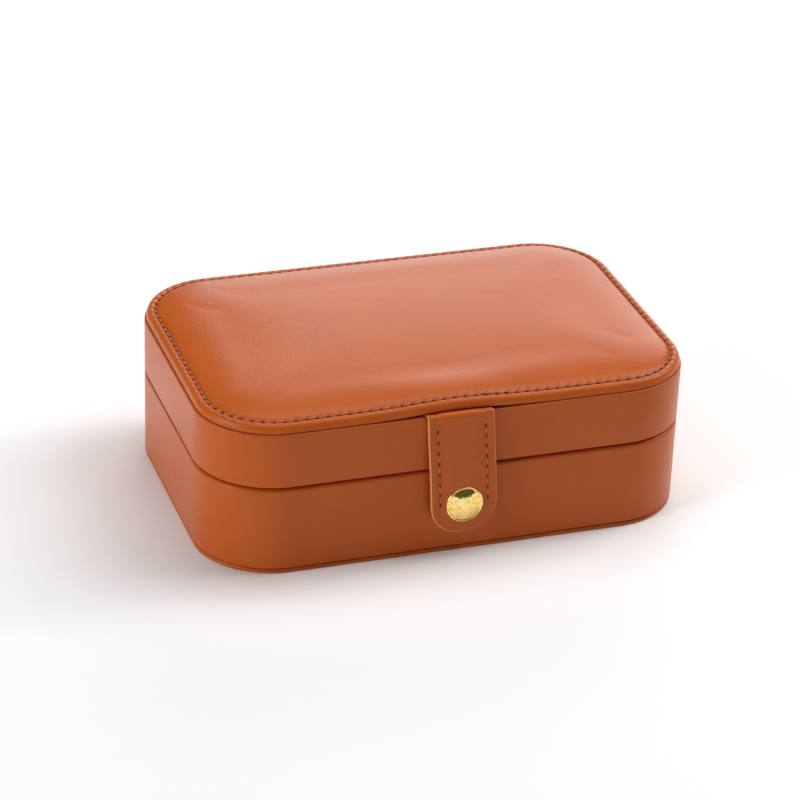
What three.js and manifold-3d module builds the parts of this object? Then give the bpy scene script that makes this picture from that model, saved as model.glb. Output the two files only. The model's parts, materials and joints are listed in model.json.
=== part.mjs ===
// A leather jewellery case: a shallow base and a hinged lid, both boards wrapped in leather, a
// padded top panel, a strap with a snap fastener, a mirror in the lid, seven ring rolls and two
// lift-out dividers. Millimetres, +Z up, front towards -Y. The origin is the middle of the
// underside, at the centre of the rounded wall outline.

import * as THREE from 'three';
import { mergeVertices } from 'three/addons/utils/BufferGeometryUtils.js';
import Module from 'manifold-3d';

// ---- driving dimensions ------------------------------------------------------------------

const CASE_LENGTH = 166;      // wall outline along X
const CASE_WIDTH = 111.8;     // wall outline along Y
const CORNER_RADIUS = 26;     // of the wall outline, seen from above
const PARTING_Z = 31;         // where the lid meets the base
const LID_WALL_TOP = 50.2;    // top of the lid's wall, under the top panel
const GAP = 0.3;              // between pieces that touch on the real case
const THROUGH = 1;            // how far a hole is cut beyond the piece that it goes through

const LEATHER = 0.8;
const BASE_PLATE = 1.5;       // the flat leather-covered sole
const SOLE_INSET = 0.15;      // its edge, in from the wall outline
const SOLE_ROUND = 0.4;
const FLOOR_BOARD = 2.3;
const BASE_BOARD = 3.2;       // wall board of the base
const LID_BOARD = 2;          // wall board of the lid
const LID_LINING = 0.7;
const LINER = 1.6;            // velvet-covered card inside the base
const LINER_FLOOR = 1.2;
const LINER_INSET = 4.6;      // outer face of the liner, in from the wall outline
const LIP_TOP = 34.5;         // the liner stands above the parting line to guide the lid
const PANEL_CARD = 1.9;       // velvet-covered card inside the top of the lid

const RIM_INSET = 0.9;        // top panel's edge, in from the wall outline
const RIM_BOTTOM = 50.6;
const RIM_TOP = 53.3;
const RIM_ROUND = 0.8;
const CROWN_TOP = 57.3;       // highest point of the padded top
const CROWN_INSET = 4.6;      // where the padding starts, in from the wall outline
const CROWN_SLOPE = 17;       // how far in the padding goes on rising
const COVER_SKIN = 1.1;       // leather and backing over the foam
const COVER_EDGE = 0.7;       // the same at the panel's edge
const TOP_BOARD = 1.8;

const HINGE_LENGTH = 110;     // leather hinge strip on the back, between the corners
const HINGE_LEAF = 11;        // how far it reaches above and below the parting line

const STRAP_WIDTH = 22.4;
const STRAP_END_RADIUS = 10.2;
const STRAP_DROP = 41.8;      // from the strap's root down to its lower end
const STRAP_LEAN = THREE.MathUtils.degToRad(3.36);
const STRAP_LAYER = 0.8;
const ROOT_X = -2.2;          // the strap's root, where it bends out from under the top panel
const ROOT_Z = 50.6;
const ROOT_DROP = 1.3;        // from the bend's axis to the strap's upper edge
const TONGUE_DEPTH = 14;      // the strap's end, held between the wall and the top panel
const TONGUE_PROUD = 0.4;     // how far that end stands out of the wall
const LINING_SHY = 0.3;       // the strap's lining, short of its face leather at the edges
const CAP_HOLE = 2.2;         // hole in the face leather for the cap's post

const CAP_DROP = 31.6;        // from the strap's root down to the snap
const CAP_RADIUS = 6.25;      // a standard 12.5 mm snap cap
const STUD_X = ROOT_X + Math.sin(STRAP_LEAN) * CAP_DROP;
const STUD_Z = ROOT_Z - Math.cos(STRAP_LEAN) * CAP_DROP;

const ROLL_COUNT = 7;
const ROLL_TOP = 27;
const PARTITION_X = -26.5;
const PARTITION_TOP = 31;
const DIVIDER = 2;
const DIVIDER_TOP = 29;
const LONG_DIVIDER_Y = -4;
const SHORT_DIVIDER_X = 25.4;

const MIRROR_LENGTH = 120;
const MIRROR_WIDTH = 74;
const MIRROR_CORNER = 8;
const MIRROR_GLASS = 1.2;
const FRAME_LENGTH = 132;
const FRAME_WIDTH = 86;
const FRAME_CORNER = 12;
const FRAME_DEPTH = 3.3;
const FRAME_ROUND = 0.5;
const FRAME_OVERLAP = 3;      // how far the frame covers the glass all round
const FRAME_LIP = 0.9;        // thickness of the frame in front of the glass

const ARC_STEPS = 5;          // half the segments in a quarter turn of an outline
const ROUND_STEPS = 32;       // segments round a turned piece
const EDGE_STEPS = 2;         // steps in a rounded-over edge
const CROWN_ARC_STEPS = 4;
const CROWN_RINGS = 7;
const BAR_ARC_STEPS = 6;
const STRAP_ARC_STEPS = 8;
const WIRE_STEPS = 8;
const WELD = 1e-4;            // points closer than this are one point

// ---- finishes ------------------------------------------------------------------------------

const finish = (color, roughness, metalness = 0) =>
  new THREE.MeshStandardMaterial({ color, roughness, metalness });

const tanLeather = () => finish(0xa4532a, 0.45);
const greyBoard = () => finish(0x8c8377, 0.9);
const velvet = () => finish(0xcdb493, 0.95);
const foam = () => finish(0xe8e0c8, 0.95);
const brass = () => finish(0xd8ac55, 0.25, 1);

// ---- solids: joining and cutting ------------------------------------------------------------

const wasm = await Module();
wasm.setup();

function signedVolume(vertices, triangles) {
  const [a, b, c] = [new THREE.Vector3(), new THREE.Vector3(), new THREE.Vector3()];
  let total = 0;
  for (let i = 0; i < triangles.length; i += 3) {
    a.fromArray(vertices, 3 * triangles[i]);
    b.fromArray(vertices, 3 * triangles[i + 1]);
    c.fromArray(vertices, 3 * triangles[i + 2]);
    total += a.dot(b.cross(c));
  }
  return total;
}

// A closed geometry as a solid that can be joined and cut, its faces turned outwards.
function solid(geometry) {
  const shell = geometry.clone();
  for (const name of ['normal', 'uv']) shell.deleteAttribute(name);
  const merged = mergeVertices(shell, WELD);
  const vertProperties = Float32Array.from(merged.attributes.position.array);
  const kept = [];
  for (let i = 0; i < merged.index.count; i += 3) {
    const corners = [0, 1, 2].map((k) => merged.index.getX(i + k));
    if (new Set(corners).size === 3) kept.push(...corners);
  }
  if (signedVolume(vertProperties, kept) < 0) kept.reverse();
  const triVerts = Uint32Array.from(kept);
  return new wasm.Manifold(new wasm.Mesh({ numProp: 3, vertProperties, triVerts }));
}

function geometryOf(manifold) {
  const { vertProperties, triVerts } = manifold.getMesh();
  const geometry = new THREE.BufferGeometry();
  geometry.setAttribute('position', new THREE.BufferAttribute(vertProperties, 3));
  geometry.setIndex(new THREE.BufferAttribute(triVerts, 1));
  geometry.computeVertexNormals();
  return geometry;
}

const join = (first, ...others) => others.reduce((sum, next) => sum.add(next), first);
const cut = (first, ...others) => others.reduce((rest, next) => rest.subtract(next), first);

// ---- the shapes that repeat -------------------------------------------------------------------

// A rectangle with round corners, as a shape or as a hole in one.
function roundedRect(length, width, radius, path = new THREE.Shape()) {
  const [x, y] = [length / 2 - radius, width / 2 - radius];
  path.absarc(x, y, radius, 0, Math.PI / 2);
  path.absarc(-x, y, radius, Math.PI / 2, Math.PI);
  path.absarc(-x, -y, radius, Math.PI, 1.5 * Math.PI);
  path.absarc(x, -y, radius, 1.5 * Math.PI, 2 * Math.PI);
  path.closePath();
  return path;
}

// The case's wall outline, moved inwards by an inset.
function outline(inset, path) {
  return roundedRect(CASE_LENGTH - 2 * inset, CASE_WIDTH - 2 * inset, CORNER_RADIUS - inset, path);
}

// A shape made as thick as bottom to top, its edges rounded over by round.
function slab(shape, bottom, top, round = 0) {
  const geometry = new THREE.ExtrudeGeometry(shape, {
    depth: top - bottom - 2 * round,
    curveSegments: ARC_STEPS,
    bevelEnabled: round > 0,
    bevelThickness: round,
    bevelSize: round,
    bevelOffset: -round,
    bevelSegments: EDGE_STEPS,
  });
  return solid(geometry.translate(0, 0, bottom + round));
}

const plate = (inset, bottom, top, round) => slab(outline(inset), bottom, top, round);

// A wall that follows the outline, between two insets.
function wall(outerInset, innerInset, bottom, top) {
  const shape = outline(outerInset);
  shape.holes.push(outline(innerInset, new THREE.Path()));
  return slab(shape, bottom, top);
}

// A dome that rises in a quarter ellipse from the outline at an inset to its flat middle.
function crown(inset, slope, bottom, top) {
  const rise = top - bottom;
  const geometry = new THREE.ExtrudeGeometry(outline(inset + slope), {
    depth: THROUGH,
    curveSegments: CROWN_ARC_STEPS,
    bevelThickness: rise,
    bevelSize: slope,
    bevelSegments: CROWN_RINGS,
  });
  const dome = solid(geometry.translate(0, 0, bottom - THROUGH));
  const kept = box([-CASE_LENGTH, CASE_LENGTH], [-CASE_WIDTH, CASE_WIDTH], [bottom, top + THROUGH]);
  return dome.intersect(kept);
}

function box([x0, x1], [y0, y1], [z0, z1]) {
  const geometry = new THREE.BoxGeometry(x1 - x0, y1 - y0, z1 - z0);
  return solid(geometry.translate((x0 + x1) / 2, (y0 + y1) / 2, (z0 + z1) / 2));
}

// A standing bar with a half-round top, seen from its end.
function barProfile(width, bottom, top) {
  const shape = new THREE.Shape();
  shape.moveTo(-width / 2, bottom);
  shape.lineTo(width / 2, bottom);
  shape.absarc(0, top - width / 2, width / 2, 0, Math.PI);
  shape.closePath();
  return shape;
}

function bar(profile, length) {
  const options = { depth: length, curveSegments: BAR_ARC_STEPS, bevelEnabled: false };
  return new THREE.ExtrudeGeometry(profile, options).translate(0, 0, -length / 2);
}

const AXIS_X = new THREE.Vector3(1, 0, 0);
const AXIS_Y = new THREE.Vector3(0, 1, 0);
const AXIS_Z = new THREE.Vector3(0, 0, 1);

function barAlongX(width, bottom, top, [x0, x1], y) {
  const turn = new THREE.Matrix4().makeBasis(AXIS_Y, AXIS_Z, AXIS_X);
  const geometry = bar(barProfile(width, bottom, top), x1 - x0).applyMatrix4(turn);
  return solid(geometry.translate((x0 + x1) / 2, y, 0));
}

function barAlongY(width, bottom, top, x, [y0, y1]) {
  const turn = new THREE.Matrix4().makeBasis(AXIS_X, AXIS_Z, AXIS_Y.clone().negate());
  const geometry = bar(barProfile(width, bottom, top), y1 - y0).applyMatrix4(turn);
  return solid(geometry.translate(x, (y0 + y1) / 2, 0));
}

// A piece turned about an axis that runs out of the front wall. The profile lists radius and
// distance in front of the wall, and x and z place the axis.
function turned(profile, x, z) {
  const points = profile.map(([radius, out]) => new THREE.Vector2(radius, out));
  const geometry = new THREE.LatheGeometry(points, ROUND_STEPS).rotateX(Math.PI);
  return solid(geometry.translate(x, -CASE_WIDTH / 2, z));
}

const pin = (radius, from, to) => [[0, from], [radius, from], [radius, to], [0, to]];

// ---- base ---------------------------------------------------------------------------------------

const FLOOR_BOTTOM = BASE_PLATE + GAP;
const FLOOR_TOP = FLOOR_BOTTOM + FLOOR_BOARD;
const WALL_INSET = LEATHER + GAP;
const BASE_BOARD_INNER = WALL_INSET + BASE_BOARD;
const BASE_LEATHER_TOP = PARTING_Z - GAP / 2;
const LINER_BOTTOM = FLOOR_TOP + GAP + LINER_FLOOR + GAP;
const INSIDE_INSET = LINER_INSET + LINER + GAP;       // what stands inside stays clear by a gap
const INSIDE_X = CASE_LENGTH / 2 - INSIDE_INSET;
const INSIDE_Y = CASE_WIDTH / 2 - INSIDE_INSET;

const STUD_BORE = 1.2;            // hole for the rivet's shank in leather and board
const RIVET_HEAD = 4;
const RIVET_POCKET = 1;           // recess for the rivet's head in the board's inner face
const RIVET_SHANK = 0.85;
const STUD_FLANGE = 4.5;
const STUD_NECK = 1.8;
const STUD_HEAD = 2.2;
const STUD_HOLLOW = 1.15;         // bore in the stud's back for the rivet's shank

function baseWallLeather() {
  const skin = wall(0, LEATHER, FLOOR_BOTTOM, BASE_LEATHER_TOP);
  const turnIn = wall(0, BASE_BOARD_INNER, BASE_LEATHER_TOP - LEATHER, BASE_LEATHER_TOP);
  return cut(join(skin, turnIn), turned(pin(STUD_BORE, -LEATHER - THROUGH, THROUGH), STUD_X, STUD_Z));
}

function baseWallBoard() {
  const top = BASE_LEATHER_TOP - LEATHER - GAP;
  const board = wall(WALL_INSET, BASE_BOARD_INNER, FLOOR_TOP + GAP, top);
  const bore = turned(pin(STUD_BORE, -BASE_BOARD_INNER - THROUGH, THROUGH), STUD_X, STUD_Z);
  const pocket = pin(
    RIVET_HEAD + GAP, -BASE_BOARD_INNER - THROUGH, -BASE_BOARD_INNER + RIVET_POCKET);
  return cut(board, bore, turned(pocket, STUD_X, STUD_Z));
}

function ringRoll(index) {
  const pitch = (2 * INSIDE_Y) / ROLL_COUNT;
  const y = -INSIDE_Y + pitch * (index + 0.5);
  const ends = [-INSIDE_X, PARTITION_X - DIVIDER / 2 - GAP];
  const roll = barAlongX(pitch - GAP, LINER_BOTTOM, ROLL_TOP, ends, y);
  return roll.intersect(plate(INSIDE_INSET, 0, LIP_TOP));
}

// Radius and distance in front of the wall, in order round each turned piece.
const STUD_PROFILE = [
  [STUD_HOLLOW, GAP], [STUD_FLANGE, GAP], [STUD_FLANGE, 0.7], [STUD_NECK, 0.7], [STUD_NECK, 1.2],
  [STUD_HEAD, 1.5], [STUD_HEAD, 2], [1.6, 2.3], [0, 2.3], [0, 1.7], [STUD_HOLLOW, 1.7],
  [STUD_HOLLOW, GAP],
];
const RIVET_PROFILE = [
  [0, -4.1], [RIVET_HEAD, -4.1], [RIVET_HEAD, -3.6], [RIVET_SHANK, -3.6], [RIVET_SHANK, 1.4],
  [0, 1.4],
];

const HINGE_BACK = [CASE_WIDTH / 2 + GAP, CASE_WIDTH / 2 + GAP + LEATHER];
const HINGE_SPAN = [-HINGE_LENGTH / 2, HINGE_LENGTH / 2];

const compartmentLeft = PARTITION_X + DIVIDER / 2 + GAP;
const longDividerBack = LONG_DIVIDER_Y + DIVIDER / 2 + GAP;

const basePieces = {
  base_bottom_cover: [plate(SOLE_INSET, 0, BASE_PLATE, SOLE_ROUND), tanLeather],
  base_floor_board: [plate(WALL_INSET, FLOOR_BOTTOM, FLOOR_TOP), greyBoard],
  base_wall_leather: [baseWallLeather(), tanLeather],
  base_wall_board: [baseWallBoard(), greyBoard],
  base_liner_floor: [plate(LINER_INSET, FLOOR_TOP + GAP, FLOOR_TOP + GAP + LINER_FLOOR), velvet],
  base_liner_walls: [wall(LINER_INSET, LINER_INSET + LINER, LINER_BOTTOM, LIP_TOP), velvet],
  ring_partition: [
    barAlongY(DIVIDER, LINER_BOTTOM, PARTITION_TOP, PARTITION_X, [-INSIDE_Y, INSIDE_Y]), velvet],
  snap_stud: [turned(STUD_PROFILE, STUD_X, STUD_Z), brass],
  snap_stud_rivet: [turned(RIVET_PROFILE, STUD_X, STUD_Z), brass],
  hinge_leaf_base: [
    box(HINGE_SPAN, HINGE_BACK, [PARTING_Z - HINGE_LEAF, BASE_LEATHER_TOP]), tanLeather],
};
for (let i = 0; i < ROLL_COUNT; i += 1) basePieces[`ring_roll_${i + 1}`] = [ringRoll(i), velvet];

const dividerPieces = {
  divider_long: [
    barAlongX(DIVIDER, LINER_BOTTOM, DIVIDER_TOP, [compartmentLeft, INSIDE_X], LONG_DIVIDER_Y),
    velvet],
  divider_short: [
    barAlongY(DIVIDER, LINER_BOTTOM, DIVIDER_TOP, SHORT_DIVIDER_X, [longDividerBack, INSIDE_Y]),
    velvet],
};

// ---- lid ----------------------------------------------------------------------------------------

const LID_LEATHER_BOTTOM = PARTING_Z + GAP / 2;
const LID_BOARD_INNER = WALL_INSET + LID_BOARD;
const LINING_INSET = LID_BOARD_INNER + GAP;
const LID_BOARD_TOP = LID_WALL_TOP - GAP;
const CARD_BOTTOM = LID_BOARD_TOP - PANEL_CARD;
const LINING_TOP = CARD_BOTTOM - GAP;
const TOP_BOARD_TOP = RIM_BOTTOM + TOP_BOARD;
const STRAP_HALF = STRAP_WIDTH / 2;

function lidWallLeather() {
  const skin = wall(0, LEATHER, LID_LEATHER_BOTTOM, LID_WALL_TOP);
  return join(skin, wall(0, LID_BOARD_INNER, LID_LEATHER_BOTTOM, LID_LEATHER_BOTTOM + LEATHER));
}

// Room for the strap's end, cut into the underside of the top panel at the front.
function tongueNotch() {
  const front = -CASE_WIDTH / 2;
  return box(
    [ROOT_X - STRAP_HALF - GAP, ROOT_X + STRAP_HALF + GAP],
    [front - THROUGH, front + TONGUE_DEPTH + GAP],
    [RIM_BOTTOM - THROUGH, LID_WALL_TOP + GAP + STRAP_LAYER + GAP],
  );
}

function lidTopCover() {
  const rim = plate(RIM_INSET, RIM_BOTTOM, RIM_TOP, RIM_ROUND);
  const padded = crown(CROWN_INSET, CROWN_SLOPE, RIM_TOP - RIM_ROUND, CROWN_TOP);
  const boardSpace = plate(RIM_INSET + COVER_EDGE, RIM_BOTTOM - THROUGH, TOP_BOARD_TOP + GAP);
  const foamTop = CROWN_TOP - COVER_SKIN;
  const foamSpace = crown(CROWN_INSET + COVER_EDGE, CROWN_SLOPE, TOP_BOARD_TOP, foamTop);
  return cut(join(rim, padded), boardSpace, foamSpace, tongueNotch());
}

function strapTongue() {
  const front = -CASE_WIDTH / 2;
  const bottom = LID_WALL_TOP + GAP;
  return box(
    [ROOT_X - STRAP_HALF, ROOT_X + STRAP_HALF],
    [front - TONGUE_PROUD, front + TONGUE_DEPTH],
    [bottom, bottom + STRAP_LAYER],
  );
}

// The mirror's velvet frame: a stepped window that the glass drops into from behind.
const MIRROR_BOTTOM = LINING_TOP - FRAME_DEPTH;

function mirrorFrame() {
  const whole = roundedRect(FRAME_LENGTH, FRAME_WIDTH, FRAME_CORNER);
  const frame = slab(whole, MIRROR_BOTTOM, LINING_TOP, FRAME_ROUND);
  const opening = roundedRect(
    MIRROR_LENGTH - 2 * FRAME_OVERLAP, MIRROR_WIDTH - 2 * FRAME_OVERLAP,
    MIRROR_CORNER - FRAME_OVERLAP);
  const window = slab(opening, MIRROR_BOTTOM - THROUGH, LINING_TOP + THROUGH);
  const step = roundedRect(MIRROR_LENGTH + 2 * GAP, MIRROR_WIDTH + 2 * GAP, MIRROR_CORNER);
  const seat = slab(step, MIRROR_BOTTOM + FRAME_LIP, LINING_TOP + THROUGH);
  return cut(frame, window, seat);
}

const mirrorSheet = (bottom, top) =>
  slab(roundedRect(MIRROR_LENGTH, MIRROR_WIDTH, MIRROR_CORNER - GAP), bottom, top);
const GLASS_BOTTOM = MIRROR_BOTTOM + FRAME_LIP + GAP;
const GLASS_TOP = GLASS_BOTTOM + MIRROR_GLASS;

function lidFoamPad() {
  const top = CROWN_TOP - COVER_SKIN - GAP;
  return crown(CROWN_INSET + 2 * COVER_EDGE, CROWN_SLOPE, TOP_BOARD_TOP + GAP, top);
}

function lidTopBoard() {
  return cut(plate(RIM_INSET + COVER_EDGE + GAP, RIM_BOTTOM, TOP_BOARD_TOP), tongueNotch());
}

const lidPieces = {
  lid_top_cover: [lidTopCover(), tanLeather],
  lid_foam_pad: [lidFoamPad(), foam],
  lid_top_board: [lidTopBoard(), greyBoard],
  lid_wall_leather: [lidWallLeather(), tanLeather],
  lid_wall_board: [
    wall(WALL_INSET, LID_BOARD_INNER, LID_LEATHER_BOTTOM + LEATHER + GAP, LID_BOARD_TOP), greyBoard],
  lid_lining_walls: [
    wall(LINING_INSET, LINING_INSET + LID_LINING, LID_LEATHER_BOTTOM, LINING_TOP), velvet],
  lid_lining_panel: [plate(LINING_INSET, CARD_BOTTOM, LID_BOARD_TOP), velvet],
  mirror_frame: [mirrorFrame(), velvet],
  mirror_glass: [mirrorSheet(GLASS_BOTTOM, GLASS_TOP), () => finish(0xdfe6ea, 0.03, 1)],
  mirror_backing: [mirrorSheet(GLASS_TOP + GAP, LINING_TOP), greyBoard],
  hinge_leaf_lid: [
    box(HINGE_SPAN, HINGE_BACK, [LID_LEATHER_BOTTOM, PARTING_Z + HINGE_LEAF]), tanLeather],
  strap_tongue: [strapTongue(), tanLeather],
};

// ---- strap --------------------------------------------------------------------------------------

// Distances in front of the wall for the strap's two layers of leather.
const LINING_OUT = 1.7;
const FACE_OUT = LINING_OUT + STRAP_LAYER + GAP;

// One layer of the strap: straight sides, round lower corners, a hole for the snap. It hangs
// from the root and leans with it.
function strapLayer(inset, out, holeRadius) {
  const half = STRAP_HALF - inset;
  const radius = STRAP_END_RADIUS - inset;
  const bottom = -STRAP_DROP + inset;
  const shape = new THREE.Shape();
  shape.moveTo(half, -ROOT_DROP);
  shape.lineTo(-half, -ROOT_DROP);
  shape.absarc(-half + radius, bottom + radius, radius, Math.PI, 1.5 * Math.PI);
  shape.absarc(half - radius, bottom + radius, radius, 1.5 * Math.PI, 2 * Math.PI);
  shape.closePath();
  const hole = new THREE.Path();
  hole.absarc(0, -CAP_DROP, holeRadius, 0, 2 * Math.PI);
  shape.holes.push(hole);
  const options = { depth: STRAP_LAYER, curveSegments: STRAP_ARC_STEPS, bevelEnabled: false };
  const turn = new THREE.Matrix4().makeBasis(AXIS_X, AXIS_Z, AXIS_Y.clone().negate());
  const layer = new THREE.ExtrudeGeometry(shape, options).applyMatrix4(turn);
  layer.translate(0, -out, 0).rotateY(-STRAP_LEAN);
  return solid(layer.translate(ROOT_X, -CASE_WIDTH / 2, ROOT_Z));
}

const SOCKET_RADIUS = 5.2;
const SOCKET_BORE = 2.6;
const SOCKET_GROOVE = 3.7;        // holds the spring
const SOCKET_PROFILE = [
  [SOCKET_BORE, 0.9], [SOCKET_RADIUS, 0.9], [SOCKET_RADIUS, 2.5], [SOCKET_BORE, 2.5],
  [SOCKET_BORE, 2.2], [SOCKET_GROOVE, 2.2], [SOCKET_GROOVE, 1.3], [SOCKET_BORE, 1.3],
  [SOCKET_BORE, 0.9],
];
const SPRING_RADIUS = 3.05;
const SPRING_WIRE = 0.28;
const SPRING_OUT = 1.75;

// The cap: a slightly dished face inside a raised rim, on a short hollow post.
const CAP_BACK = FACE_OUT + STRAP_LAYER + GAP;
const POST_RADIUS = 1.8;
const POST_HOLLOW = 1.2;
const POST_END = 2.6;
const CAP_PROFILE = [
  [0, CAP_BACK + 0.85], [4.6, CAP_BACK + 1.05], [5.2, CAP_BACK + 1.3], [5.8, CAP_BACK + 1.25],
  [CAP_RADIUS, CAP_BACK + 0.8], [CAP_RADIUS, CAP_BACK + 0.2], [CAP_RADIUS - 0.3, CAP_BACK],
  [POST_RADIUS, CAP_BACK], [POST_RADIUS, POST_END], [POST_HOLLOW, POST_END],
  [POST_HOLLOW, CAP_BACK], [0, CAP_BACK],
];

function snapSpring() {
  const ring = new THREE.TorusGeometry(SPRING_RADIUS, SPRING_WIRE, WIRE_STEPS, ROUND_STEPS);
  return solid(ring.rotateX(Math.PI / 2).translate(STUD_X, -CASE_WIDTH / 2 - SPRING_OUT, STUD_Z));
}

const strapPieces = {
  strap_leather: [strapLayer(0, FACE_OUT, CAP_HOLE), tanLeather],
  strap_lining: [strapLayer(LINING_SHY, LINING_OUT, SOCKET_RADIUS + GAP), tanLeather],
  snap_cap: [turned(CAP_PROFILE, STUD_X, STUD_Z), brass],
  snap_socket: [turned(SOCKET_PROFILE, STUD_X, STUD_Z), brass],
  snap_spring: [snapSpring(), () => finish(0xb9bcc0, 0.3, 1)],
};

// ---- the whole case -------------------------------------------------------------------------

function assembly(pieces) {
  const group = new THREE.Group();
  for (const [name, [manifold, material]] of Object.entries(pieces)) {
    const mesh = new THREE.Mesh(geometryOf(manifold), material());
    mesh.name = name;
    group.add(mesh);
  }
  return group;
}

const jewelleryCase = new THREE.Group();
for (const pieces of [basePieces, dividerPieces, lidPieces, strapPieces]) {
  jewelleryCase.add(assembly(pieces));
}

export default jewelleryCase;
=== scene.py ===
"""The looks of a tan leather jewellery case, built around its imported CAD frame.

Every size that the frame already holds is read from it. The sizes given here belong to the
sewing and the making: rolled edges, seams, stitch pitch, pile, grain.
"""
import json
import logging
import math
from dataclasses import dataclass
from enum import Enum
from functools import lru_cache
from typing import Callable, Iterable, Optional, Sequence

import bmesh
import bpy
from bmesh.types import BMEdge, BMesh, BMVert
from mathutils import Matrix, Vector, noise


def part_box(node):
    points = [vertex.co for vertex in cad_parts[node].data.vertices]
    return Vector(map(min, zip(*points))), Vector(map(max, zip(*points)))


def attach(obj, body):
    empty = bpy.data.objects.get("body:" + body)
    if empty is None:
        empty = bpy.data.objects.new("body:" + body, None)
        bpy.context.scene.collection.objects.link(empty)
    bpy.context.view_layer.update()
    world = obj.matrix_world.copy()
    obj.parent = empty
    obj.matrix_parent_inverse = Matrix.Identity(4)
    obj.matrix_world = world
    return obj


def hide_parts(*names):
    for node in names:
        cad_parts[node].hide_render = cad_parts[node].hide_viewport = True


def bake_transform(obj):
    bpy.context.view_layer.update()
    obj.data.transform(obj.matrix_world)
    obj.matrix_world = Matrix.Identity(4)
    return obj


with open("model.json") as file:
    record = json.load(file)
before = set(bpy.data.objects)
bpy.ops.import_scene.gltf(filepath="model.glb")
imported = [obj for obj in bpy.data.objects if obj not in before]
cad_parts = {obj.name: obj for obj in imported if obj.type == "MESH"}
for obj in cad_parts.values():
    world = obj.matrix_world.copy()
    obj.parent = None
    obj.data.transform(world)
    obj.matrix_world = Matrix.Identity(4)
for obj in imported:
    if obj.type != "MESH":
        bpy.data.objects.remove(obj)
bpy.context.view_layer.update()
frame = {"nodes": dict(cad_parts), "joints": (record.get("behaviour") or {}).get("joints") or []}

MM = 0.001
QUARTER = math.pi / 2
WELD = 0.002 * MM              # points nearer than this are joined
RIM_ANGLE = math.radians(60)   # an edge that bends by more than this gets rounded
LOG = logging.getLogger("jewellery_case")


# ---- frame readings --------------------------------------------------------------------------


@lru_cache(maxsize=None)
def node_box(node: str) -> tuple[Vector, Vector]:
    """Lowest and highest corner of a CAD node, in metres."""
    low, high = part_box(node)
    return Vector(low), Vector(high)


def joint_point(name: str) -> Vector:
    """The point that a joint's axis passes through."""
    return next(Vector(j["pos_m"]) for j in frame["joints"] if j["name"] == name)


# ---- the outline that every wall follows -----------------------------------------------------


@dataclass(frozen=True)
class Outline:
    """A rectangle with round corners, centred on the Z axis.

    Positions along it start at the low end of the +X side and run anticlockwise.
    """

    half_length: float
    half_width: float
    corner: float

    def inset(self, by: float) -> "Outline":
        """The parallel outline that far inside this one."""
        return Outline(self.half_length - by, self.half_width - by, self.corner - by)

    @property
    def straights(self) -> tuple[float, float]:
        """Half the straight stretch along X and along Y."""
        return self.half_length - self.corner, self.half_width - self.corner

    @property
    def quarters(self) -> tuple[tuple[float, float, float], ...]:
        """For each side in turn: half its straight stretch, and the centre of the corner after."""
        a, b = self.straights
        return (b, a, b), (a, -a, b), (b, -a, -b), (a, a, -b)

    @property
    def arc(self) -> float:
        """Length of one round corner."""
        return QUARTER * self.corner

    @property
    def perimeter(self) -> float:
        """Length all the way round."""
        a, b = self.straights
        return 4 * (a + b + self.arc)

    def at(self, along: float) -> tuple[Vector, Vector]:
        """The point at a position along the outline, and the outward direction there.

        Args:
            along: Distance from the start, in metres. It may pass the end.

        Returns:
            The point at z 0 and a unit vector pointing outwards.
        """
        rest = along % self.perimeter
        for quarter, (side, cx, cy) in enumerate(self.quarters):
            out = Vector((math.cos(quarter * QUARTER), math.sin(quarter * QUARTER), 0))
            forward = Vector((-out.y, out.x, 0))
            centre = Vector((cx, cy, 0))
            if rest <= 2 * side:
                return centre + out * self.corner + forward * (rest - 2 * side), out
            rest -= 2 * side
            if rest <= self.arc:
                turned = Matrix.Rotation(rest / self.corner, 3, "Z") @ out
                return centre + turned * self.corner, turned
            rest -= self.arc
        return self.at(0.0)

    def depth(self, point: Vector) -> float:
        """How far inside the outline a point is, seen from above."""
        a, b = self.straights
        qx, qy = abs(point.x) - a, abs(point.y) - b
        if qx > 0 and qy > 0:
            return self.corner - math.hypot(qx, qy)
        return min(self.half_length - abs(point.x), self.half_width - abs(point.y))

    def along(self, point: Vector) -> float:
        """Position along the outline of the place nearest to a point, seen from above."""
        a, b = self.straights
        x, y = point.x, point.y
        bends = 2 * (a + b + self.arc)
        if abs(x) > a and abs(y) > b:
            angle = math.atan2(abs(y) - b, abs(x) - a) * self.corner
            past_side = 2 * b + (angle if x * y > 0 else 2 * self.arc + 2 * a - angle)
            return past_side + (0 if y > 0 else bends)
        if self.half_length - abs(x) < self.half_width - abs(y):
            return y + b if x > 0 else bends + b - y
        top = 2 * b + self.arc + a
        return top - x if y > 0 else bends + top + x


# ---- mesh tools ------------------------------------------------------------------------------


@dataclass(frozen=True)
class Corner:
    """A corner of a section: how far across, how high, and how round, in millimetres."""

    across: float
    up: float
    round: float = 0.0


def verts_of(made: Iterable[object]) -> list[BMVert]:
    """The vertices among what a bmesh operator made."""
    return [part for part in made if isinstance(part, BMVert)]


def edges_of(made: Iterable[object]) -> list[BMEdge]:
    """The edges among what a bmesh operator made."""
    return [part for part in made if isinstance(part, BMEdge)]


def round_off(bm: BMesh, parts: Sequence[object], radius: float, segments: int,
              affect: str = "EDGES") -> None:
    """Rounds edges, or corners where affect is VERTICES, to a radius in metres."""
    bmesh.ops.bevel(bm, geom=parts, offset=radius, offset_type="OFFSET", segments=segments,
                    profile=0.5, affect=affect, material=-1)


def cut_across(bm: BMesh, point: Vector, normal: Vector) -> None:
    """Cuts every face along a plane, and keeps both sides."""
    bmesh.ops.bisect_plane(bm, geom=bm.verts[:] + bm.edges[:] + bm.faces[:], plane_co=point,
                           plane_no=normal)


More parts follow.
